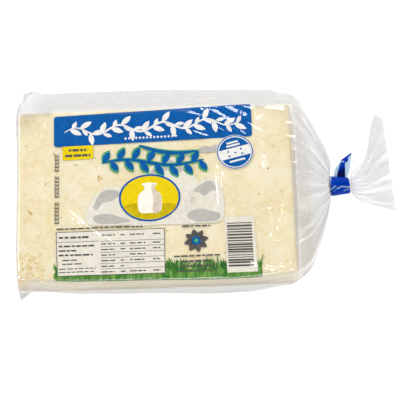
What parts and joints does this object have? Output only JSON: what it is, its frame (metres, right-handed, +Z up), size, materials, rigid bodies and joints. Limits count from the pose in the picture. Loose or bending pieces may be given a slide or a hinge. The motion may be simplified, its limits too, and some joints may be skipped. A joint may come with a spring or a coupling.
{
  "type": "bagged hard cheese",
  "caption": "Flat slab of hard white cheese in a clear film bag, sealed at the left end and gathered at the right under a turn of blue tape, with the mouth fanned out.",
  "frame": {"origin": "middle of the slab on the plane that the pack rests on", "axes": "+X along the pack from the sealed end to the tied end, +Y across it to the far long side, +Z up out of the printed face"},
  "size_m": [0.2101, 0.1247, 0.0209],
  "materials": {
    "bag_film": "clear glossy film lying on matt ivory cheese",
    "tie_tape": "glossy deep blue sealing tape",
    "cheese": "matt ivory curd with small pits and brown specks",
    "print": "glossy ink on the bag's film"
  },
  "bodies": {
    "root": {"bag": "bag_film", "tie": "tie_tape"}
  },
  "joints": []
}
